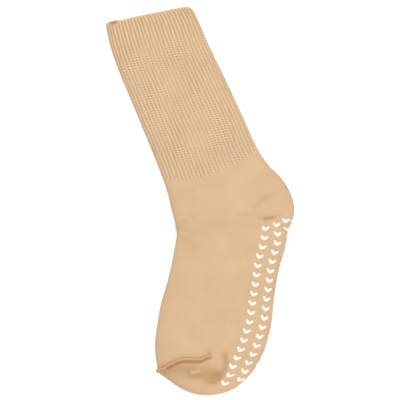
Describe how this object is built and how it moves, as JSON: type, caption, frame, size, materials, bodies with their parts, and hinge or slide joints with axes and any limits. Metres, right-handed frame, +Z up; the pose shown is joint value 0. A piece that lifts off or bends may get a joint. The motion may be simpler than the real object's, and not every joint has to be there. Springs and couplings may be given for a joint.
{
  "type": "slipper sock",
  "caption": "Beige knit crew slipper sock, ribbed leg, raised toe seam and rows of V-shaped grips on the sole, lying flat on its side.",
  "frame": {"origin": "on the floor under the middle of the sock's bounding box", "axes": "+X along the lying sock from the cuff to the toe, +Y from the instep side to the heel and sole side, +Z up off the floor"},
  "size_m": [0.402, 0.18, 0.0223],
  "materials": {
    "knit": "matte",
    "seam": "matte"
  },
  "bodies": {
    "root": {"knitted_body": "knit", "toe_seam": "seam"}
  },
  "joints": []
}
